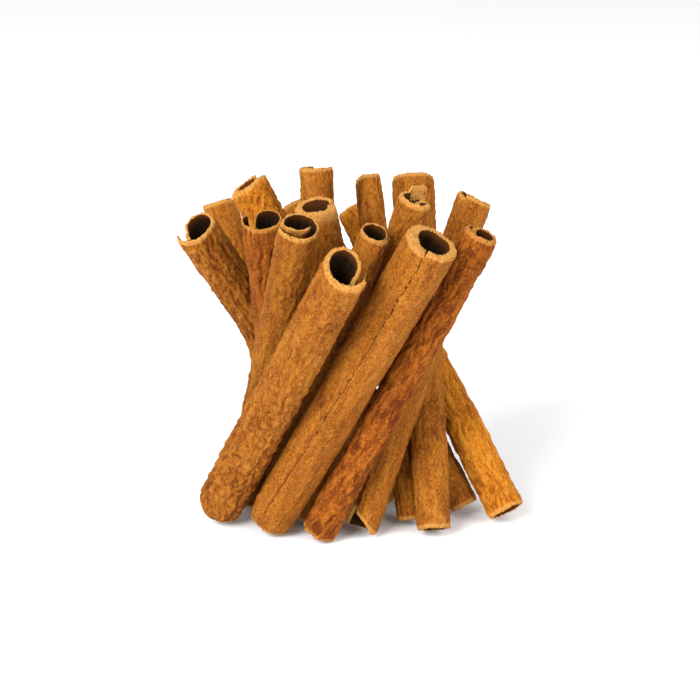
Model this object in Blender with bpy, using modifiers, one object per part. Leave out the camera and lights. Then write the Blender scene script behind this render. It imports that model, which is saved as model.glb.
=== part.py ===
"""A stack of cinnamon sticks, stood on end and leaning together in a twisted sheaf.

Each stick is a strip of cassia bark that curled up lengthways as it dried. It is made here
the same way: a flat strip is rolled up through a few arcs and then given the bark's thickness.
The sticks stand on the floor at Z = 0, round the middle of the sheaf at X = Y = 0, with -Y
towards the front. Blender's units are metres, and the sizes below are in millimetres.
"""
import math
from collections import namedtuple

import bmesh
import bpy
from mathutils import Matrix, Vector

MM = 0.001
STACK = "cinnamon_stack"

# The bark
STEPS_ACROSS = 40          # steps across the strip of bark, from one edge to the other
STEPS_ALONG = 1            # steps along a stick
SMOOTH_ANGLE = math.radians(50)

# How the sticks lie together
AIR = 0.3                  # least gap between two sticks
SETTLING_ROUNDS = 600

# A roll is the way one strip of bark is curled up: how thick the bark is, as a share of the
# stick's outside radius, and then arcs from its outer edge inwards, each of (radius as a share
# of the stick's outside radius, turn in degrees).
Roll = namedtuple("Roll", "wall arcs")

BUTT = Roll(0.25, ((1.0, 356),))
THICK = Roll(0.38, ((1.0, 356),))
CHUNKY = Roll(0.46, ((1.0, 356),))
PINCHED = Roll(0.34, ((1.0, 338), (0.60, 22)))
SNUG = Roll(0.27, ((1.0, 200), (0.88, 90), (0.76, 80), (0.66, 30)))
LIP = Roll(0.24, ((1.0, 215), (0.86, 90), (0.74, 100)))
HOOK = Roll(0.20, ((1.0, 240), (0.88, 90), (0.74, 60), (0.66, 40)))
TIGHT = Roll(0.31, ((0.96, 90), (0.88, 90), (0.80, 90), (0.70, 90), (0.62, 90), (0.53, 80)))
FLAP = Roll(0.29, ((1.0, 200), (0.86, 90), (0.66, 80), (0.36, 170)))
POCKET = Roll(0.22, ((1.0, 205), (0.86, 95), (0.62, 50), (1.3, 40)))
CRESCENT = Roll(0.17, ((1.0, 200), (0.94, 90), (0.86, 50), (0.30, 78), (1.3, 65)))
DOUBLE = Roll(0.15, ((0.34, 85), (1.0, 160), (0.80, 125), (0.5, 60), (1.6, 38)))

# foot and head: the floor points under the middles of a stick's lower and upper end
# length: along the stick
# thick: outside width at the foot and at the head
# roll: one of the rolls above
# seam: where the bark's outer edge lies round the stick (0 right, 90 back, 180 left, 270 front),
#       or how far the section of a stick that has no round outside is turned
# hand: 1 where the bark runs anticlockwise from that edge, seen from the head, or -1
Stick = namedtuple("Stick", "foot head length thick roll seam hand")

STICKS = {
    # five that cross the front, leaning right
    "stick_01": Stick((-24.5, -12.5), (3.5, -47.5), 79.0, (11.4, 10.6), LIP, 8, -1),
    "stick_02": Stick((-15.0, -20.5), (19.5, -42.0), 81.0, (10.4, 11.4), PINCHED, 255, 1),
    "stick_03": Stick((-3.5, -26.0), (29.8, -36.0), 79.0, (8.2, 8.2), TIGHT, 130, 1),
    "stick_04": Stick((7.5, -21.5), (31.5, -7.5), 77.0, (8.4, 8.8), SNUG, 241, 1),
    "stick_05": Stick((17.0, -26.5), (15.6, 12.0), 79.5, (7.8, 9.6), BUTT, 60, 1),
    # three behind the gaps between those
    "stick_06": Stick((-15.0, -9.0), (11.0, -36.5), 78.5, (7.4, 7.2), HOOK, 352, -1),
    "stick_07": Stick((-5.5, -14.5), (16.5, -29.5), 83.0, (7.6, 8.0), FLAP, 50, 1),
    "stick_08": Stick((13.5, -17.5), (5.8, 9.5), 77.5, (6.2, 6.4), SNUG, 150, 1),
    # four on the left, leaning forwards
    "stick_09": Stick((-17.5, -4.0), (-6.5, -37.5), 81.5, (9.8, 9.2), CRESCENT, 185, 1),
    "stick_10": Stick((-12.5, 2.0), (-17.5, -25.0), 76.0, (9.4, 9.2), DOUBLE, 92, 1),
    "stick_11": Stick((2.0, 16.5), (-29.0, -20.0), 81.0, (10.0, 10.0), POCKET, 183, 1),
    "stick_12": Stick((11.5, -5.0), (-4.0, -22.0), 76.5, (8.4, 9.0), THICK, 20, 1),
    # six at the back, leaning left or nearly upright
    "stick_13": Stick((17.0, 2.5), (-18.6, 2.0), 79.0, (9.4, 9.2), CHUNKY, 60, 1),
    "stick_14": Stick((0.5, -11.5), (-2.7, -2.5), 78.0, (7.4, 7.6), BUTT, 100, 1),
    "stick_15": Stick((36.6, -17.5), (2.3, 19.5), 78.0, (8.8, 8.2), BUTT, 45, 1),
    "stick_16": Stick((26.3, -6.5), (-10.5, 22.0), 76.0, (6.8, 7.0), SNUG, 120, 1),
    "stick_17": Stick((30.5, -10.0), (-2.9, 15.0), 74.0, (7.2, 7.0), SNUG, 90, 1),
    "stick_18": Stick((-7.0, 11.0), (-27.0, 29.0), 65.5, (7.6, 8.0), THICK, 30, 1),
}

# Stick 4 has a piece broken off the front of its foot.
CHIPPED = "stick_04"
CHIP_SIDE = 205            # where the chip lies round the stick
CHIP_SPREAD = 110          # degrees from its deepest point to each end
CHIP_DEPTH = 5.0

# Some heads were cut at a slant. side: the side of the stick that the cut slopes down to;
# fall: how far it drops for each unit across.
Slant = namedtuple("Slant", "side fall")
HEAD_SLANTS = {
    "stick_01": Slant(270, 0.30),
    "stick_04": Slant(0, 0.12),
    "stick_13": Slant(180, 0.15),
    "stick_14": Slant(90, 0.10),
}

# Stick 7 has a flap of its outer edge standing above the rest of its head.
FLAPPED = "stick_07"
FLAP_SHARE = 0.16          # share of the strip that stands up
FLAP_HEIGHT = 2.0

# Bark colours, from palest to reddest (linear red, green, blue)
OCHRE = (0.52, 0.24, 0.06)
TAN = (0.55, 0.22, 0.065)
ORANGE = (0.57, 0.21, 0.03)
BROWN = (0.42, 0.15, 0.03)
BARK_ROUGHNESS = 0.85
BARK_COLOURS = {
    "stick_01": TAN,
    "stick_02": TAN,
    "stick_03": BROWN,
    "stick_09": OCHRE,
    "stick_10": BROWN,
    "stick_13": ORANGE,
    "stick_15": ORANGE,
}


class Pole:
    """The straight middle line of one stick, which settling may shift."""

    def __init__(self, stick):
        self.foot = Vector(stick.foot)
        self.head = Vector(stick.head)
        self.length = stick.length
        self.foot_radius = stick.thick[0] / 2
        self.head_radius = stick.thick[1] / 2

    def ends(self):
        """The middles of both ends, with the foot's lowest edge on the floor."""
        run = self.head - self.foot
        rise = math.sqrt(self.length ** 2 - run.length_squared)
        foot_height = self.foot_radius * run.length / self.length
        low = Vector((self.foot.x, self.foot.y, foot_height))
        return low, low + Vector((run.x, run.y, rise))

    def radius(self, share):
        return self.foot_radius + (self.head_radius - self.foot_radius) * share

    def shift(self, share, move):
        """Shift the line so that its point at this share of the length moves by this much."""
        spread = share ** 2 + (1 - share) ** 2
        self.foot += move * ((1 - share) / spread)
        self.head += move * (share / spread)


def clamp(value):
    return min(max(value, 0.0), 1.0)


def nearest_shares(low_a, high_a, low_b, high_b):
    """Where two straight lines between end points come closest, as shares of their lengths."""
    along_a = high_a - low_a
    along_b = high_b - low_b
    between = low_a - low_b
    aa = along_a.dot(along_a)
    ab = along_a.dot(along_b)
    bb = along_b.dot(along_b)
    a_between = along_a.dot(between)
    b_between = along_b.dot(between)
    share_a = clamp((ab * b_between - bb * a_between) / (aa * bb - ab * ab))
    share_b = clamp((ab * share_a + b_between) / bb)
    share_a = clamp((ab * share_b - a_between) / aa)
    return share_a, share_b


def settle(poles):
    """Ease every pair of sticks apart until they clear each other by AIR."""
    names = sorted(poles)
    pairs = [(poles[a], poles[b]) for i, a in enumerate(names) for b in names[i + 1:]]
    for _ in range(SETTLING_ROUNDS):
        worst = 0.0
        for one, other in pairs:
            low_a, high_a = one.ends()
            low_b, high_b = other.ends()
            share_a, share_b = nearest_shares(low_a, high_a, low_b, high_b)
            apart = low_b.lerp(high_b, share_b) - low_a.lerp(high_a, share_a)
            short = one.radius(share_a) + other.radius(share_b) + AIR - apart.length
            if short <= 0:
                continue
            worst = max(worst, short)
            push = Vector((apart.x, apart.y)).normalized() * (short / 2)
            one.shift(share_a, -push)
            other.shift(share_b, push)
        if worst < AIR / 100:
            break
    print("settled: the closest pair is short of its gap by", round(worst, 4), "mm")


def roll_outline(arcs):
    """The outer face of a rolled strip, seen from the head, inside a circle of radius 1.

    It starts at the bark's outer edge, on the right, and runs anticlockwise.
    """
    strip_width = sum(radius * math.radians(turn) for radius, turn in arcs)
    step = strip_width / STEPS_ACROSS
    point = Vector((0.0, 0.0))
    heading = math.radians(90)
    points = [point.copy()]
    for radius, turn in arcs:
        turn = math.radians(turn)
        steps = max(2, round(radius * turn / step))
        chord = 2 * radius * math.sin(turn / steps / 2)
        for _ in range(steps):
            heading += turn / steps
            middle = heading - turn / steps / 2
            point += Vector((math.cos(middle), math.sin(middle))) * chord
            points.append(point.copy())
    low = Vector((min(p.x for p in points), min(p.y for p in points)))
    high = Vector((max(p.x for p in points), max(p.y for p in points)))
    centre = (low + high) / 2
    reach = max((p - centre).length for p in points)
    return [(p - centre) / reach for p in points]


def stick_section(stick):
    """The roll's outline turned to where the stick's seam lies."""
    points = roll_outline(stick.roll.arcs)
    if stick.hand < 0:
        points = [Vector((p.x, -p.y)) for p in reversed(points)]
    turn = Matrix.Rotation(math.radians(stick.seam), 2)
    return [turn @ p for p in points]


def chip_height(point):
    """How much of the foot's edge is broken off beyond this point of the section."""
    side = math.degrees(math.atan2(point.y, point.x))
    off = abs((side - CHIP_SIDE + 180) % 360 - 180)
    return CHIP_DEPTH * max(0.0, 1 - off / CHIP_SPREAD)


def slant_drop(slant, point):
    """How far a slanted cut lies below a square one at this point of the section."""
    side = math.radians(slant.side)
    return slant.fall * (point.x * math.cos(side) + point.y * math.sin(side))


def bark_mesh(name, stick):
    """A strip of bark as a flat grid, rolled up round +Z with its foot at the origin."""
    section = stick_section(stick)
    steps_across = len(section) - 1
    bm = bmesh.new()
    bmesh.ops.create_grid(bm, x_segments=steps_across, y_segments=STEPS_ALONG, size=0.5)
    foot_radius, head_radius = (width / 2 for width in stick.thick)
    for vert in bm.verts:
        across = vert.co.x + 0.5
        along = vert.co.y + 0.5
        point = section[round(across * steps_across)]
        radius = foot_radius + (head_radius - foot_radius) * along
        height = stick.length * along
        if name == CHIPPED and along < 0.01:
            height += chip_height(point)
        if name == FLAPPED and along > 0.99 and across > FLAP_SHARE:
            height -= FLAP_HEIGHT
        if name in HEAD_SLANTS and along > 0.99:
            height -= slant_drop(HEAD_SLANTS[name], point) * head_radius
        vert.co = Vector((point.x * radius, point.y * radius, height)) * MM
    mesh = bpy.data.meshes.new(name)
    bm.to_mesh(mesh)
    bm.free()
    mesh.shade_smooth()
    mesh.set_sharp_from_angle(angle=SMOOTH_ANGLE)
    return mesh


def bark_material(name, colour):
    """A plain dry bark in one colour."""
    material = bpy.data.materials.new(name)
    material.use_nodes = True
    shader = material.node_tree.nodes["Principled BSDF"]
    shader.inputs["Base Color"].default_value = (*colour, 1)
    shader.inputs["Roughness"].default_value = BARK_ROUGHNESS
    shader.inputs["Metallic"].default_value = 0
    return material


def standing_matrix(pole):
    """Stand local +Z along the stick, with local +X as near the world's as it can be."""
    low, high = pole.ends()
    up = (high - low).normalized()
    right = Vector((1, 0, 0))
    right = (right - up * right.dot(up)).normalized()
    back = up.cross(right)
    turn = Matrix((right, back, up)).transposed().to_4x4()
    return Matrix.Translation(low * MM) @ turn


def make_stick(name, stick, pole, collection, sheaf):
    """One stick: its rolled bark, thickened inwards and stood in its place."""
    mesh = bark_mesh(name, stick)
    mesh.materials.append(bark_material(name + "_bark", BARK_COLOURS.get(name, TAN)))
    item = bpy.data.objects.new(name, mesh)
    collection.objects.link(item)
    item.parent = sheaf
    item.matrix_world = standing_matrix(pole)
    bark = item.modifiers.new("bark", "SOLIDIFY")
    bark.thickness = stick.roll.wall * sum(stick.thick) / 4 * MM
    bark.offset = -1
    bark.use_even_offset = True
    bark.use_rim = True
    return item


def centre_on_origin(items):
    """Shift the sheaf sideways until its outer box is centred, and down onto the floor."""
    bpy.context.view_layer.update()
    corners = [item.matrix_world @ vert.co for item in items for vert in item.data.vertices]
    low = Vector([min(c[axis] for c in corners) for axis in range(3)])
    high = Vector([max(c[axis] for c in corners) for axis in range(3)])
    shift = Vector((-(low.x + high.x) / 2, -(low.y + high.y) / 2, -low.z))
    for item in items:
        item.location += shift
    print("sheaf shifted by", [round(value / MM, 3) for value in shift], "mm")
    print("overall", [round(value / MM, 1) for value in high - low], "mm")


def main():
    for item in list(bpy.data.objects):
        bpy.data.objects.remove(item, do_unlink=True)
    collection = bpy.data.collections.new(STACK)
    bpy.context.scene.collection.children.link(collection)
    sheaf = bpy.data.objects.new("sheaf_middle", None)
    collection.objects.link(sheaf)
    poles = {name: Pole(stick) for name, stick in STICKS.items()}
    settle(poles)
    items = [make_stick(name, stick, poles[name], collection, sheaf) for name, stick in STICKS.items()]
    centre_on_origin(items)


main()
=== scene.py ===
# %% [markdown]
# # A stack of cinnamon sticks
# Cinnamon sticks are strips of cassia bark that curled up lengthways while they dried. This
# stack stands on end, and its sticks lean together in a twisted sheaf.
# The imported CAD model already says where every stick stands. Here each plain stick is replaced
# by one with ragged cut ends, an open seam, ridges, flakes and the colours of dry bark.

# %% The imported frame
import math
from collections import namedtuple

import bmesh
import bpy
import numpy as np
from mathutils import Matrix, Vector


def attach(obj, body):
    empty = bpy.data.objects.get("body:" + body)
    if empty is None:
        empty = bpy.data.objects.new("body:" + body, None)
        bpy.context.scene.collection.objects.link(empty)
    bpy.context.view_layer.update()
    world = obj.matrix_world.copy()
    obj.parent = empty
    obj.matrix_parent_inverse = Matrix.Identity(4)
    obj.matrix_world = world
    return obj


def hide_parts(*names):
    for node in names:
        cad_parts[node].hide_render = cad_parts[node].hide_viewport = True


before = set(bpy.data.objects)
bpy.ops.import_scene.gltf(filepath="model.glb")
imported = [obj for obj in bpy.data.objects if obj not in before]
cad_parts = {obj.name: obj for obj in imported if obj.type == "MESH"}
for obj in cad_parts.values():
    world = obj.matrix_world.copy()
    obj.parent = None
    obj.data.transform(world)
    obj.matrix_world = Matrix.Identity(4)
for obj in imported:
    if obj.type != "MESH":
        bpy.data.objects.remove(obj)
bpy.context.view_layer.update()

MM = 0.001
print("sticks in the frame:", len(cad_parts))

# %% [markdown]
# ## The camera
# The photograph looks down on the sheaf at about 18 degrees, from roughly half a metre away.
# A camera looks along its own -Z, so turning it by 90 degrees less that angle about X makes it
# look along +Y and slightly down. The lens follows from how large a stick about 80 mm
# long appears at that distance. A longer lens from further away would flatten the stack too much.

# %% Camera
LOOKING_DOWN = 18.5
CAMERA_DISTANCE = 520 * MM
LENS = 118.7
LOOKED_AT = Vector((-0.6, 9.9, 35.2)) * MM

lens = bpy.data.cameras.new("camera")
lens.lens = LENS
camera = bpy.data.objects.new("camera", lens)
bpy.context.scene.collection.objects.link(camera)
tilt = math.radians(LOOKING_DOWN)
camera.location = LOOKED_AT + Vector((0, -math.cos(tilt), math.sin(tilt))) * CAMERA_DISTANCE
camera.rotation_euler = (math.radians(90) - tilt, 0, 0)
bpy.context.scene.camera = camera
print("camera at", [round(value / MM) for value in camera.location], "mm")

# %% [markdown]
# ## Light and floor
# The picture was taken on a white sweep, with large soft lights: the shadows are only faint
# grey pools round the feet. A white world gives the overall light, and two big area lights add
# the gentle difference between the lit fronts and the browner sides. The floor is a plain pale
# sheet with its own slight roughness, and it isn't part of the object. The standard view keeps
# the strong orange of the bark, which the default view would wash out.

# %% Light
WORLD_STRENGTH = 0.75

world = bpy.data.worlds.new("white studio")
world.use_nodes = True
world.node_tree.nodes["Background"].inputs["Color"].default_value = (1, 1, 1, 1)
world.node_tree.nodes["Background"].inputs["Strength"].default_value = WORLD_STRENGTH
bpy.context.scene.world = world
bpy.context.scene.view_settings.view_transform = "Standard"


def soft_light(name, place, size, power):
    """A square light of this size in metres that points at the middle of the sheaf."""
    light = bpy.data.lights.new(name, "AREA")
    light.size = size
    light.energy = power
    lamp = bpy.data.objects.new(name, light)
    bpy.context.scene.collection.objects.link(lamp)
    lamp.location = place
    lamp.rotation_euler = (LOOKED_AT - Vector(place)).to_track_quat("-Z", "Y").to_euler()


soft_light("key light", (-0.45, -0.60, 0.50), 0.5, 12.5)
soft_light("fill light", (0.60, -0.50, 0.45), 0.6, 5)

# %% Floor
FLOOR_SIZE = 6.0
PAPER_COLOUR = (0.93, 0.93, 0.94, 1)
PAPER_ROUGHNESS = 0.9

bm = bmesh.new()
bmesh.ops.create_grid(bm, x_segments=1, y_segments=1, size=FLOOR_SIZE / 2)
floor_mesh = bpy.data.meshes.new("floor")
bm.to_mesh(floor_mesh)
bm.free()
paper = bpy.data.materials.new("white_paper")
paper.use_nodes = True
paper.node_tree.nodes["Principled BSDF"].inputs["Base Color"].default_value = PAPER_COLOUR
paper.node_tree.nodes["Principled BSDF"].inputs["Roughness"].default_value = PAPER_ROUGHNESS
floor_mesh.materials.append(paper)
floor = bpy.data.objects.new("floor", floor_mesh)
bpy.context.scene.collection.objects.link(floor)

# %% [markdown]
# ## How a stick is curled
# Seen from its end, a stick is a spiral: the strip of bark runs once round the outside and then
# turns in under its own edge. A few arcs describe it, from the outer edge inwards, each with a
# radius and a turn. Joining arcs of different radius makes visible corners, so the curvature is
# first smoothed along the strip and the spiral is then traced from it step by step.

# %% Rolls
# wall: thickness of the bark as a share of the stick's outside radius
# thinned: how much of that thickness is lost at the outer edge, which lies flush with the turn below
# arcs: from the outer edge inwards, each a radius as a share of the stick's and a turn in degrees
Roll = namedtuple("Roll", "wall thinned arcs")

BUTT = Roll(0.25, 0.0, ((1.0, 356),))
THICK = Roll(0.44, 0.0, ((1.0, 356),))
CHUNKY = Roll(0.46, 0.0, ((1.0, 356),))
PINCHED = Roll(0.36, 0.0, ((1.0, 341), (0.60, 29)))
SNUG = Roll(0.27, 0.5, ((1.0, 200), (0.88, 90), (0.76, 80), (0.66, 30)))
LIP = Roll(0.24, 0.8, ((1.0, 215), (0.86, 90), (0.74, 100)))
HOOK = Roll(0.20, 0.8, ((1.0, 240), (0.88, 90), (0.74, 60), (0.66, 40)))
TIGHT = Roll(0.31, 0.8, ((0.96, 90), (0.88, 90), (0.80, 90), (0.70, 90), (0.62, 90), (0.53, 80)))
FLAP = Roll(0.29, 0.8, ((1.0, 200), (0.86, 90), (0.66, 80), (0.36, 170)))
POCKET = Roll(0.22, 0.5, ((1.0, 205), (0.86, 95), (0.62, 50), (1.3, 40)))
CRESCENT = Roll(0.17, 0.3, ((1.0, 200), (0.94, 90), (0.86, 58), (0.30, 78), (1.3, 60)))
DOUBLE = Roll(0.15, 0.0, ((0.34, 85), (1.0, 160), (0.80, 125), (0.5, 60), (1.6, 38)))

TRACE_STEPS = 900
SMOOTHED_OVER = 0.22       # length along the strip over which its curvature is smoothed


def trace_roll(arcs):
    """The outer face of a rolled strip inside a circle of radius 1: how far along, x, y, heading."""
    width = sum(radius * math.radians(turn) for radius, turn in arcs)
    along = np.linspace(0, width, TRACE_STEPS)
    arc_ends = np.cumsum([radius * math.radians(turn) for radius, turn in arcs])
    arc = np.minimum(np.searchsorted(arc_ends, along), len(arcs) - 1)
    curvature = 1 / np.array([part[0] for part in arcs])[arc]
    reach = int(SMOOTHED_OVER / width * TRACE_STEPS)
    padded = np.pad(curvature, reach, mode="edge")
    curvature = np.convolve(padded, np.ones(2 * reach + 1) / (2 * reach + 1), "valid")
    step = along[1] - along[0]
    heading = math.radians(90) + np.cumsum(curvature * step) - curvature * step
    x = np.concatenate([[0], np.cumsum(np.cos(heading) * step)[:-1]])
    y = np.concatenate([[0], np.cumsum(np.sin(heading) * step)[:-1]])
    x -= (x.min() + x.max()) / 2
    y -= (y.min() + y.max()) / 2
    scale = np.hypot(x, y).max()
    return along / scale, x / scale, y / scale, heading


print("a flat strip of the tight roll is", round(trace_roll(TIGHT.arcs)[0][-1], 2), "stick radii wide")

# %% [markdown]
# ## Where the sticks stand
# Each detailed stick has the same roll as its plain one and fills the same space. The plain
# solid shows where that is: its corners lie in two rings, one at the foot and one at the head.
# The middle of a ring isn't the middle of the stick, because the bark overlaps itself on one
# side. Turning a ring back until its seam lies on the right undoes that: the roll was centred
# that way, so the ring's outer box is then centred on the stick. Angles go round a stick as seen
# from its head: 0 is right, 90 back, 180 left and 270 front.

# %% Table of sticks
# length: along the stick in mm; thick: outside width at the foot and the head in mm
# seam: where the outer edge of the bark lies; hand: 1 where the bark runs anticlockwise from it
Stick = namedtuple("Stick", "length thick roll seam hand")

STICKS = {
    "stick_01": Stick(79.0, (11.4, 10.6), LIP, 8, -1),
    "stick_02": Stick(81.0, (10.4, 11.4), PINCHED, 255, 1),
    "stick_03": Stick(79.0, (8.2, 8.2), TIGHT, 130, 1),
    "stick_04": Stick(77.0, (8.4, 8.8), SNUG, 241, 1),
    "stick_05": Stick(79.5, (7.8, 9.6), BUTT, 60, 1),
    "stick_06": Stick(78.5, (7.4, 7.2), HOOK, 352, -1),
    "stick_07": Stick(83.0, (7.6, 8.0), FLAP, 50, 1),
    "stick_08": Stick(77.5, (6.2, 6.4), SNUG, 150, 1),
    "stick_09": Stick(81.5, (9.8, 9.2), CRESCENT, 185, 1),
    "stick_10": Stick(76.0, (9.4, 9.2), DOUBLE, 92, 1),
    "stick_11": Stick(81.0, (10.0, 10.0), POCKET, 183, 1),
    "stick_12": Stick(76.5, (8.4, 9.0), THICK, 20, 1),
    "stick_13": Stick(79.0, (9.4, 9.2), CHUNKY, 60, 1),
    "stick_14": Stick(78.0, (7.4, 7.6), BUTT, 100, 1),
    "stick_15": Stick(78.0, (8.8, 8.2), BUTT, 45, 1),
    "stick_16": Stick(76.0, (6.8, 7.0), SNUG, 120, 1),
    "stick_17": Stick(74.0, (7.2, 7.0), SNUG, 90, 1),
    "stick_18": Stick(65.5, (7.6, 8.0), THICK, 30, 1),
}


def axes_along(up):
    """A stick's own axes as rows (right, back, up), with right as near the world's as it can be."""
    up = Vector(up).normalized()
    right = Vector((1, 0, 0))
    right = (right - up * right.dot(up)).normalized()
    return np.array([right, up.cross(right), up])


def ring_middle(ring, axes, seam):
    """The middle of the stick at one ring of its solid's corners."""
    angle = math.radians(seam)
    turned = np.array([[math.cos(angle), math.sin(angle)], [-math.sin(angle), math.cos(angle)]])
    local = ring @ axes.T
    flat = local[:, :2] @ turned.T
    middle = (flat.min(axis=0) + flat.max(axis=0)) / 2 @ turned
    return np.append(middle, local[:, 2].min()) @ axes


def standing_frame(name):
    """The stick's own axes as rows (right, back, up) and the middle of its foot, in mm."""
    seam = STICKS[name].seam
    points = np.array([vert.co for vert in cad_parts[name].data.vertices]) / MM
    spread = points - points.mean(axis=0)
    along = np.linalg.svd(spread, full_matrices=False)[2][0]
    along = along * np.sign(along[2])
    at_head = spread @ along > 0
    axes = axes_along(along)
    foot = ring_middle(points[~at_head], axes, seam)
    head = ring_middle(points[at_head], axes, seam)
    return axes_along(head - foot), foot


for name in ("stick_01", "stick_18"):
    print(name, "stands at", [round(value, 1) for value in standing_frame(name)[1]], "mm")

# %% [markdown]
# ## A noise for bark
# Bark is rough in a directed way: its ridges and flakes are much longer along the stick than
# across it. Blender's own noise works on one point at a time, which is slow for a million
# points. This small gradient noise takes whole arrays, and stretching its input along the stick
# gives the directed roughness.

# %% Noise
GRAIN_GAIN = 1.5           # brings the noise up to between about -1 and 1


def corner_angle(column, row, seed):
    """A fixed pseudo-random angle for each corner of a square lattice."""
    mixed = column.astype(np.int64) * 374761393 + row.astype(np.int64) * 668265263 + seed * 97531
    mixed = (mixed ^ (mixed >> 13)) * 1274126177 & 0xFFFFFFFF
    return (mixed ^ (mixed >> 16)) % 65536 * (2 * math.pi / 65536)


def grain(across, along, seed):
    """Smooth noise between about -1 and 1 with features one unit wide."""
    column, row = np.floor(across), np.floor(along)
    x, y = across - column, along - row
    ease_x, ease_y = x * x * (3 - 2 * x), y * y * (3 - 2 * y)
    total = 0
    for right in (0, 1):
        for up in (0, 1):
            angle = corner_angle(column + right, row + up, seed)
            slope = np.cos(angle) * (x - right) + np.sin(angle) * (y - up)
            weight = (ease_x if right else 1 - ease_x) * (ease_y if up else 1 - ease_y)
            total = total + slope * weight
    return total * GRAIN_GAIN


def ease(value, low, high):
    """0 below low, 1 above high, and a smooth step between them."""
    share = np.clip((value - low) / (high - low), 0, 1)
    return share * share * (3 - 2 * share)


print("noise at one point:", round(float(grain(np.array([0.3]), np.array([0.7]), 1)[0]), 3))

# %% [markdown]
# ## A flat slab of bark
# Every stick starts as a flat slab: a grid one unit across, one unit along and one unit deep.
# The grid gives the outer face, a solidify gives the inner face and the sides, and cutting the
# sides into a few layers lets the cut ends be rounded and crumbly. While it is flat, a point's
# own coordinates say exactly where on the bark it is, which is far harder to tell once it is
# rolled up. Modelling the spiral first and thickening it afterwards would lose that.

# %% Flat slab
CUT_LAYERS = 5


def flat_slab(across_steps, along_steps):
    """A mesh of a unit slab: x across the strip, y along the stick, z from 0 outside to -1."""
    bm = bmesh.new()
    bmesh.ops.create_grid(bm, x_segments=across_steps, y_segments=along_steps, size=0.5)
    bmesh.ops.solidify(bm, geom=bm.faces[:], thickness=1.0)
    sides = [edge for edge in bm.edges if abs(edge.verts[0].co.z - edge.verts[1].co.z) > 0.5]
    bmesh.ops.subdivide_edges(bm, edges=sides, cuts=CUT_LAYERS, use_grid_fill=True)
    bmesh.ops.recalc_face_normals(bm, faces=bm.faces[:])
    slab = bpy.data.meshes.new("slab")
    bm.to_mesh(slab)
    bm.free()
    return slab


def slab_places(slab):
    """Each point's share across, share along and depth, from 0 outside to 1 inside."""
    flat = np.empty(len(slab.vertices) * 3, np.float32)
    slab.vertices.foreach_get("co", flat)
    flat = flat.reshape(-1, 3).astype(float)
    top = flat[:, 2].max()
    return flat[:, 0] + 0.5, flat[:, 1] + 0.5, top - flat[:, 2]


test_slab = flat_slab(4, 6)
print("slab:", len(test_slab.vertices), "points, depth up to", round(slab_places(test_slab)[2].max(), 2))
bpy.data.meshes.remove(test_slab)

# %% [markdown]
# ## How rough each stick is
# The sticks differ: the thickest is knobbly, some have long grooves, others are nearly smooth.
# A recipe holds the height of each kind of roughness in mm. Ends were snapped or sawn, so their
# edges wander by a few tenths of a millimetre.

# %% Recipes for roughness
# swell: long soft waves; knob: rounded lumps; ripple: wavy scales along the stick;
# groove: narrow furrows along the stick; crackle: a net of fine cracks; grit: the finest grain;
# ragged: how far the cut ends wander; frayed: how far the seam's edge wanders
Rough = namedtuple("Rough", "swell knob ripple groove crackle grit ragged frayed")

KNOBBLY = Rough(0.22, 0.36, 0.26, 0.00, 0.28, 0.10, 0.45, 0.5)
PLAIN = Rough(0.22, 0.12, 0.20, 0.06, 0.12, 0.10, 0.40, 0.5)
SMOOTH = Rough(0.18, 0.10, 0.14, 0.03, 0.09, 0.10, 0.40, 0.6)
SEAMED = Rough(0.18, 0.12, 0.16, 0.03, 0.12, 0.10, 0.40, 0.3)
WAVY = Rough(0.24, 0.12, 0.36, 0.05, 0.20, 0.10, 0.40, 0.5)
LUMPY = Rough(0.24, 0.34, 0.22, 0.00, 0.22, 0.10, 0.45, 0.5)
GROOVED = Rough(0.20, 0.06, 0.16, 0.34, 0.08, 0.08, 0.40, 0.3)

ROUGHNESS = {
    "stick_01": KNOBBLY,
    "stick_02": SEAMED,
    "stick_03": WAVY,
    "stick_04": SMOOTH,
    "stick_08": GROOVED,
    "stick_10": GROOVED,
    "stick_11": WAVY,
    "stick_12": PLAIN,
    "stick_13": LUMPY,
    "stick_15": WAVY,
}
HIGHEST = 0.15             # mm above the smooth roll, half the gap between two sticks
SOFT_TOP = 0.05            # mm over which the relief flattens off below that
FURROW_WIDTH = 0.12        # how much of the noise on each side of zero makes a furrow
CRACK_WIDTH = 0.14         # the same for a crack


def outer_relief(across, along, rough, seed):
    """Height of the outer face over its smooth roll, in mm.

    Each noise is divided by the width and the length of its features, in mm.
    """
    swell = grain(across / 6, along / 15, seed) * rough.swell
    bend = grain(across / 2.5, along / 4, seed + 1)
    lumps = grain(across / 1.0 + 0.5 * bend, along / 1.4, seed + 2)
    knob = np.maximum(lumps, -0.15) * rough.knob
    ripple = grain(across / 0.95 + 1.4 * bend, along / 3.2, seed + 3) * rough.ripple
    furrows = grain(across / 2.2 + 0.3 * bend, along / 22, seed + 4)
    groove = -np.exp(-(furrows / FURROW_WIDTH) ** 2) * rough.groove
    cracks = grain(across / 1.3 + 0.6 * bend, along / 2.2, seed + 6)
    crackle = -np.exp(-(cracks / CRACK_WIDTH) ** 2) * rough.crackle
    grit = grain(across / 0.7, along / 1.1, seed + 5) * rough.grit
    height = swell + knob + ripple + groove + crackle + grit - (rough.knob + rough.ripple) / 3
    return HIGHEST - np.logaddexp(0, (HIGHEST - height) / SOFT_TOP) * SOFT_TOP


here = np.linspace(0, 30, 400)
bumps = outer_relief(here, here * 1.7, KNOBBLY, 100)
print("knobbly bark: from", round(bumps.min(), 2), "to", round(bumps.max(), 2), "mm")

# %% [markdown]
# ## Cut ends
# A cut is never quite square. Some heads slope, one foot has a piece broken off, and one stick
# has a flap of its outer edge left standing. Each is worked out as a length missing from the
# end, for the side of the stick that a point lies on.

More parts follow.
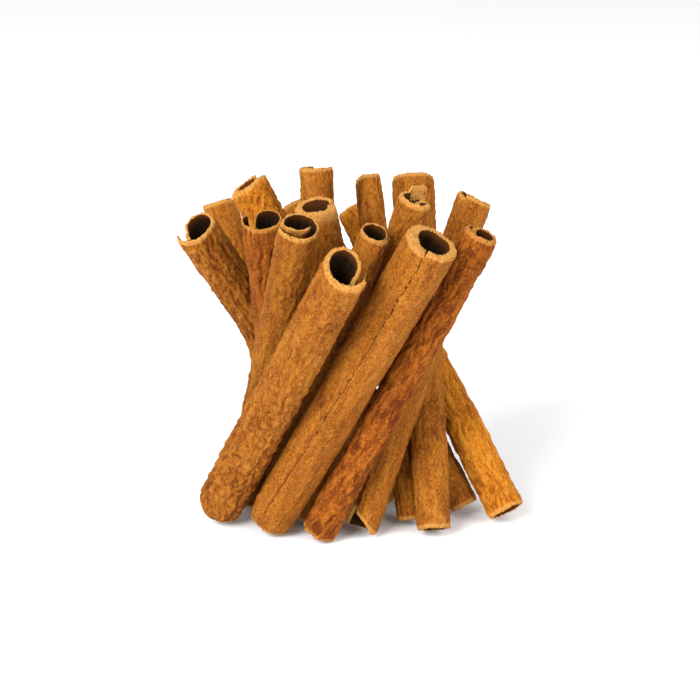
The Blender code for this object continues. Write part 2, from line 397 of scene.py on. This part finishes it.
# %% Ends that aren't square
# side: where its deepest point lies round the stick, in degrees
# before, after: how many degrees it reaches clockwise and anticlockwise from there
Chip = namedtuple("Chip", "side before after depth")
FOOT_CHIP = {"stick_04": Chip(203, 45, 125, 5.0)}
HEAD_CHIP = {
    "stick_01": Chip(0, 35, 35, 1.0),
    "stick_08": Chip(190, 60, 60, 1.4),
    "stick_11": Chip(165, 30, 30, 0.9),
}
# side: the side that the cut slopes down to; fall: mm down for each mm across
Slant = namedtuple("Slant", "side fall")
HEAD_SLANT = {
    "stick_01": Slant(270, 0.30),
    "stick_04": Slant(0, 0.12),
    "stick_13": Slant(180, 0.15),
    "stick_14": Slant(90, 0.10),
}
FLAPPED = "stick_07"
FLAP_SHARE = 0.16          # share of the strip that stands up
FLAP_HEIGHT = 2.0
FLAP_RAGGED = 2.5          # how many times more ragged the flap is than the other ends


def chipped(chip, side):
    """Length missing at this side of the stick, which is in degrees."""
    off = (side - chip.side + 180) % 360 - 180
    share = np.where(off < 0, -off / chip.before, off / chip.after)
    return chip.depth * np.maximum(0, 1 - share)


def missing_at_foot(name, side):
    """Length missing at the foot, in mm."""
    return chipped(FOOT_CHIP[name], side) if name in FOOT_CHIP else 0 * side


def missing_at_head(name, x, y, side, share):
    """Length missing at the head, in mm. On the flapped stick only the flap keeps its height."""
    missing = chipped(HEAD_CHIP[name], side) if name in HEAD_CHIP else 0 * side
    if name in HEAD_SLANT:
        slant = HEAD_SLANT[name]
        down = math.radians(slant.side)
        missing = missing + slant.fall * (x * math.cos(down) + y * math.sin(down))
    if name == FLAPPED:
        missing = missing + FLAP_HEIGHT * ease(share, FLAP_SHARE - 0.01, FLAP_SHARE + 0.01)
    return missing


print("deepest chip:", max(chip.depth for chip in FOOT_CHIP.values()), "mm")

# %% [markdown]
# ## Curling the slab
# The share across the slab picks a place on the spiral, the share along it a height on the
# stick, and the depth goes inwards from the outer face. The roughness is added on the way: to
# the outer face along its own direction, to the cut ends along the stick and to the seam's edge
# across it. The rows of points are drawn towards both ends, where the finest detail is.

# %% Rolling up
EDGE_ROUNDING = 0.16       # mm by which the middle of a cut edge stands proud of its corners
CROWDING = 0.35            # how strongly the rows of points crowd towards the ends
HEAD_PROUD = 0.35          # mm by which the longest points of a head pass its nominal cut
TORN = 0.8                 # mm by which the innermost turn is shorter at the head

# how far the seam has moved round the stick by its foot, in degrees
FOOT_TWIST = {"stick_02": -26, "stick_03": -12, "stick_04": -6, "stick_11": 8}
# how far a worn foot is rounded off, in mm
FOOT_WEAR = {"stick_01": 0.9, "stick_02": 0.6}
WEAR_LENGTH = 1.4          # mm along the stick over which that wear fades
WORN = 0.15                # how far every end is rounded off, in mm
WORN_LENGTH = 0.5          # mm along the stick over which that fades
SMOOTHER_HEAD = {"stick_01": 0.35}   # share of its roughness that a stick loses towards its head
SEAM_JAG = {"stick_02": 0.45}   # how far a torn seam zigzags, in mm
JAG_WIDTH = 1.5            # mm from the seam over which the zigzag fades
HOLLOW = 0.06              # how uneven the inner face is, in mm
UNEVEN_WALL = 0.10         # how much the bark's thickness varies, as a share of it
THIN_EDGE = 0.3            # how much thinner the bark is right at its outer edge
THIN_EDGE_WIDTH = 0.9      # mm over which it gets its full thickness
THINNED_OVER = 0.55        # how far the thinned outer edge reaches, in stick radii
THICKENED = {"stick_02": 0.5}   # how much thicker the bark gets towards its inner edge
PALE_BAND = {"stick_12": 3.2}   # how many times wider than usual the pale band at the cut is


def cut_edge(across, depth, ragged, seed):
    """How far a cut end falls short of the stick's full length, in mm."""
    wander = 0.5 + 0.5 * grain(across / 2.4, depth * 0.8, seed)
    fuzz = 0.6 * grain(across / 0.5, depth * 3, seed + 1)
    return ragged * (wander + fuzz) + EDGE_ROUNDING


def curl_slab(name, stick, slab):
    """Places the slab's points as the curled stick, and keeps where on the bark each one is."""
    rough = ROUGHNESS.get(name, PLAIN)
    seed = int(name[-2:]) * 100
    share, rise, depth = slab_places(slab)
    at_head, at_foot = rise > 1 - 1e-6, rise < 1e-6
    at_edge = np.where(share < 0.5, -1.0, 1.0) * ((share < 1e-6) | (share > 1 - 1e-6))
    rise = rise - CROWDING * np.sin(2 * math.pi * rise) / (2 * math.pi)
    axes, foot = standing_frame(name)
    length = stick.length
    foot_radius, head_radius = stick.thick[0] / 2, stick.thick[1] / 2
    radius = foot_radius + (head_radius - foot_radius) * rise
    traced, trace_x, trace_y, heading = trace_roll(stick.roll.arcs)
    strip_width = traced[-1] * radius
    height = rise * length

    fray = rough.frayed * (0.5 + 0.5 * grain(height / 2.2, height * 0, seed + 10))
    fray += rough.frayed * 0.35 * grain(height / 0.6, height * 0, seed + 11)
    across = fray + share * (strip_width - fray)
    on_roll = np.clip(across / radius, 0, traced[-1])
    x = np.interp(on_roll, traced, trace_x) * radius
    y = np.interp(on_roll, traced, trace_y) * radius
    way = np.interp(on_roll, traced, heading)
    out_x, out_y = np.sin(way), -np.cos(way)

    relief = outer_relief(across, height, rough, seed)
    smoother = SMOOTHER_HEAD.get(name, 0)
    relief *= 1 - smoother + smoother * ease(rise, 0.8, 0.3)
    wear = WORN * np.exp(-np.minimum(height, length - height) / WORN_LENGTH)
    wear += FOOT_WEAR.get(name, 0) * np.exp(-height / WEAR_LENGTH)
    hollow = grain(across / 1.1, height / 7, seed + 20) * HOLLOW
    wall = stick.roll.wall * (foot_radius + head_radius) / 2
    uneven = 1 + UNEVEN_WALL * grain(across / 5, height / 9, seed + 21)
    wall = wall * uneven * (1 - THIN_EDGE * np.exp(-across / THIN_EDGE_WIDTH))
    wall = wall * (1 + THICKENED.get(name, 0) * ease(share, 0.55, 0.85))
    thinned = stick.roll.thinned * wall * np.exp(-(across / (THINNED_OVER * radius)) ** 2)
    inwards = depth * (wall - hollow) + (1 - depth) * (thinned + wear - relief)
    proud = EDGE_ROUNDING * np.sqrt(np.clip(4 * depth * (1 - depth), 0, 1))
    x += -out_x * inwards - out_y * at_edge * proud
    y += -out_y * inwards + out_x * at_edge * proud
    if stick.hand < 0:
        y = -y
    turn = math.radians(stick.seam) + math.radians(FOOT_TWIST.get(name, 0)) * (1 - rise) ** 2
    jag = grain(height / 2.6, height * 0, seed + 12) + 0.8 * grain(height / 0.9, height * 0, seed + 13)
    near_seam = np.exp(-across / JAG_WIDTH) + np.exp(-(strip_width - across) / JAG_WIDTH)
    turn = turn + SEAM_JAG.get(name, 0) * jag * near_seam / radius
    x, y = x * np.cos(turn) - y * np.sin(turn), x * np.sin(turn) + y * np.cos(turn)

    side = np.degrees(np.arctan2(y, x))
    ragged = rough.ragged * np.where((name == FLAPPED) & (share < FLAP_SHARE), FLAP_RAGGED, 1.0)
    low = cut_edge(across, depth, rough.ragged, seed + 30) + missing_at_foot(name, side)
    high = cut_edge(across, depth, ragged, seed + 32) + missing_at_head(name, x, y, side, share)
    high = high + TORN * ease(share, 0.7, 0.95) - HEAD_PROUD
    z = low + rise * (length - low - high) + proud * (1.0 * at_head - 1.0 * at_foot)
    placed = foot + np.stack([x, y, z], axis=1) @ axes
    slab.vertices.foreach_set("co", (placed * MM).astype(np.float32).ravel())
    if stick.hand < 0:
        slab.flip_normals()

    from_end = np.minimum(z - low, (length - high - z) / PALE_BAND.get(name, 1))
    flap = (name == FLAPPED) & (share < FLAP_SHARE) & (height > length - FLAP_HEIGHT - 1)
    torn = np.where(flap, np.minimum(depth, 0.9), depth)
    places = {"bark": (across, z, depth * wall), "lay": (torn, relief - relief.mean(), from_end)}
    for label, values in places.items():
        kept = slab.attributes.new(label, "FLOAT_VECTOR", "POINT")
        kept.data.foreach_set("vector", np.stack(values, axis=1).astype(np.float32).ravel())


# %% [markdown]
# ## Bark as a material
# One material has to show the weathered outer face, the darker inner face and the pale,
# freshly cut ends. Painting them as separate materials would leave a hard line at each edge.
# Instead, every point carries its depth in the bark, its relief and its distance from the end,
# and the shader mixes the three looks from those. Noise stretched along the stick makes the
# streaks and flecks. Shade is painted into the furrows, the hollows of the fine bump and the bore,
# and highlights onto the ridges and the bump's peaks.

# %% Bark material
BARK_ROUGHNESS = 0.82
BARK_SPECULAR = 0.12
BUMP_DEPTH = 0.5 * MM
LIT_INSIDE = 2.5           # how many times lighter the streaks in the bore are than the rest of it


class Nodes:
    """Short ways to add the few kinds of shader node that the bark needs."""

    def __init__(self, material):
        self.tree = material.node_tree

    def add(self, kind, **settings):
        node = self.tree.nodes.new(kind)
        for key, value in settings.items():
            setattr(node, key, value)
        return node

    def plug(self, socket, value):
        if isinstance(value, bpy.types.NodeSocket):
            self.tree.links.new(value, socket)
        else:
            socket.default_value = value

    def attribute(self, name):
        return self.add("ShaderNodeAttribute", attribute_name=name).outputs["Vector"]

    def noise(self, place, stretch, detail=3.0, roughness=0.6):
        scaled = self.add("ShaderNodeVectorMath", operation="MULTIPLY")
        self.plug(scaled.inputs[0], place)
        scaled.inputs[1].default_value = stretch
        noise = self.add("ShaderNodeTexNoise")
        self.plug(noise.inputs["Vector"], scaled.outputs[0])
        noise.inputs["Scale"].default_value = 1.0
        noise.inputs["Detail"].default_value = detail
        noise.inputs["Roughness"].default_value = roughness
        return noise.outputs["Fac"]

    def span(self, value, low, high, to_low=0.0, to_high=1.0):
        node = self.add("ShaderNodeMapRange", interpolation_type="SMOOTHSTEP")
        self.plug(node.inputs["Value"], value)
        for key, number in (("From Min", low), ("From Max", high), ("To Min", to_low), ("To Max", to_high)):
            node.inputs[key].default_value = number
        return node.outputs["Result"]

    def mix(self, share, first, second):
        node = self.add("ShaderNodeMix", data_type="RGBA")
        self.plug(node.inputs[0], share)
        for socket, colour in ((node.inputs[6], first), (node.inputs[7], second)):
            self.plug(socket, colour if isinstance(colour, bpy.types.NodeSocket) else (*colour, 1))
        return node.outputs[2]

    def maths(self, operation, first, second=0.0):
        node = self.add("ShaderNodeMath", operation=operation)
        self.plug(node.inputs[0], first)
        self.plug(node.inputs[1], second)
        return node.outputs[0]


# colours as linear red, green, blue
# light, dark: the weathered face; a dark tone for cracks and flecks, also painted as shade in furrows
# and in the hollows of the fine bump; a pale tone painted as highlight on ridges and the bump's peaks;
# inside: the inner face, darkened nearly to black as painted shade in the bore; cut: at the ends
Bark = namedtuple("Bark", "light dark crack dust inside cut")

TAN = Bark(
    light=(0.36, 0.119, 0.009),
    dark=(0.24, 0.065, 0.003),
    # the crack tone below is real dark flecks and cracks, and also painted shade in furrows and in the fine
    # bump's hollows
    crack=(0.11, 0.022, 0.001),
    # the pale tone below is a painted highlight on ridges and on the fine bump's peaks
    dust=(0.50, 0.205, 0.030),
    # near black: the inner face with the bore's shade painted in
    inside=(0.012, 0.005, 0.001),
    cut=(0.62, 0.305, 0.075),
)
OCHRE = TAN._replace(light=(0.33, 0.115, 0.008), dark=(0.22, 0.060, 0.003), dust=(0.46, 0.185, 0.022))
BROWN = TAN._replace(
    light=(0.32, 0.083, 0.005),
    dark=(0.17, 0.033, 0.001),
    crack=(0.08, 0.013, 0.001),
    dust=(0.44, 0.155, 0.014),
    cut=(0.54, 0.24, 0.048),
)
ORANGE = TAN._replace(
    light=(0.56, 0.195, 0.010),
    dark=(0.39, 0.114, 0.005),
    crack=(0.20, 0.042, 0.002),
    dust=(0.70, 0.300, 0.032),
)


def bark_material(name, bark):
    """The material of one kind of bark: weathered face, inner face and cut ends in one."""
    material = bpy.data.materials.new(name)
    material.use_nodes = True
    nodes = Nodes(material)
    shader = material.node_tree.nodes["Principled BSDF"]
    place = nodes.attribute("bark")
    lay = nodes.add("ShaderNodeSeparateXYZ")
    nodes.plug(lay.inputs[0], nodes.attribute("lay"))
    depth, relief, from_end = lay.outputs

    streaks = nodes.noise(place, (0.55, 0.10, 0.5), 4.0)
    colour = nodes.mix(nodes.span(streaks, 0.36, 0.64), bark.dark, bark.light)
    flecks = nodes.noise(place, (1.3, 0.7, 1.0), 4.0, 0.7)
    colour = nodes.mix(nodes.span(flecks, 0.56, 0.74, 0.0, 0.4), colour, bark.crack)
    fine = nodes.noise(place, (4.4, 1.4, 3.0), 4.0, 0.7)
    # Painted shade in the hollows of the fine bump and a painted highlight on its peaks, both from the
    # bump's own noise.
    colour = nodes.mix(nodes.span(fine, 0.50, 0.36, 0.0, 0.75), colour, bark.crack)
    colour = nodes.mix(nodes.span(fine, 0.51, 0.64, 0.0, 0.7), colour, bark.dust)
    # Painted shade in the furrows and a painted highlight on the ridges, both following the relief.
    colour = nodes.mix(nodes.span(relief, -0.30, -0.02, 0.65, 0.0), colour, bark.crack)
    colour = nodes.mix(nodes.span(relief, 0.05, 0.28, 0.0, 0.4), colour, bark.dust)

    # The bore is painted as shade: near-black, with lit streaks, and lighter near the open end where light
    # reaches in.
    inner_streaks = nodes.noise(place, (1.2, 0.12, 0.5), 3.0)
    lit_inside = tuple(channel * LIT_INSIDE for channel in bark.inside)
    inner = nodes.mix(nodes.span(inner_streaks, 0.35, 0.65), bark.inside, lit_inside)
    inner = nodes.mix(nodes.span(from_end, 2.0, 0.0, 0.0, 0.3), inner, bark.dark)
    colour = nodes.mix(nodes.span(depth, 0.80, 0.97), colour, inner)

    cut_noise = nodes.noise(place, (2.6, 2.6, 4.0), 5.0, 0.75)
    cut = nodes.mix(nodes.span(cut_noise, 0.48, 0.62), bark.cut, bark.light)
    cut = nodes.mix(nodes.span(cut_noise, 0.57, 0.68, 0.0, 0.9), cut, bark.crack)
    cut_share = nodes.maths("MULTIPLY", nodes.span(depth, 0.02, 0.16), nodes.span(depth, 0.97, 0.86))
    worn_edge = nodes.maths("MULTIPLY", nodes.span(from_end, 0.9, 0.35), nodes.span(depth, 0.3, 0.1))
    cut_share = nodes.maths("MAXIMUM", cut_share, nodes.maths("MULTIPLY", worn_edge, 0.7))
    colour = nodes.mix(cut_share, colour, cut)
    nodes.plug(shader.inputs["Base Color"], colour)
    shader.inputs["Roughness"].default_value = BARK_ROUGHNESS
    shader.inputs["Specular IOR Level"].default_value = BARK_SPECULAR

    bump = nodes.add("ShaderNodeBump")
    bump.inputs["Strength"].default_value = 1.0
    bump.inputs["Distance"].default_value = BUMP_DEPTH
    nodes.plug(bump.inputs["Height"], fine)
    nodes.plug(shader.inputs["Normal"], bump.outputs["Normal"])
    return material


BARKS = {
    "bark_tan": bark_material("bark_tan", TAN),
    "bark_ochre": bark_material("bark_ochre", OCHRE),
    "bark_brown": bark_material("bark_brown", BROWN),
    "bark_orange": bark_material("bark_orange", ORANGE),
}
BARK_OF = {
    "stick_03": "bark_brown",
    "stick_09": "bark_ochre",
    "stick_10": "bark_brown",
    "stick_13": "bark_orange",
    "stick_15": "bark_orange",
}
print("bark materials:", len(BARKS))

# %% [markdown]
# ## Making the sticks
# Every stick goes through the same steps: flat slab, curl, smooth shading, material. It then
# rides on the one body of the part and stands in for its plain CAD node.

# %% Sticks
FINE_STEPS = (130, 200)
COARSE_STEPS = (90, 140)
MOSTLY_HIDDEN = ("stick_14", "stick_16", "stick_17", "stick_18")

total_triangles = 0
for name, stick in STICKS.items():
    steps = COARSE_STEPS if name in MOSTLY_HIDDEN else FINE_STEPS
    slab = flat_slab(*steps)
    curl_slab(name, stick, slab)
    slab.name = name
    slab.shade_smooth()
    slot_name = BARK_OF.get(name, "bark_tan")
    slab.materials.append(BARKS[slot_name])
    piece = bpy.data.objects.new(name + "_bark", slab)
    bpy.context.scene.collection.objects.link(piece)
    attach(piece, "root")
    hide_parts(name)
    slab.calc_loop_triangles()
    total_triangles += len(slab.loop_triangles)
print("triangles in all the sticks:", total_triangles)
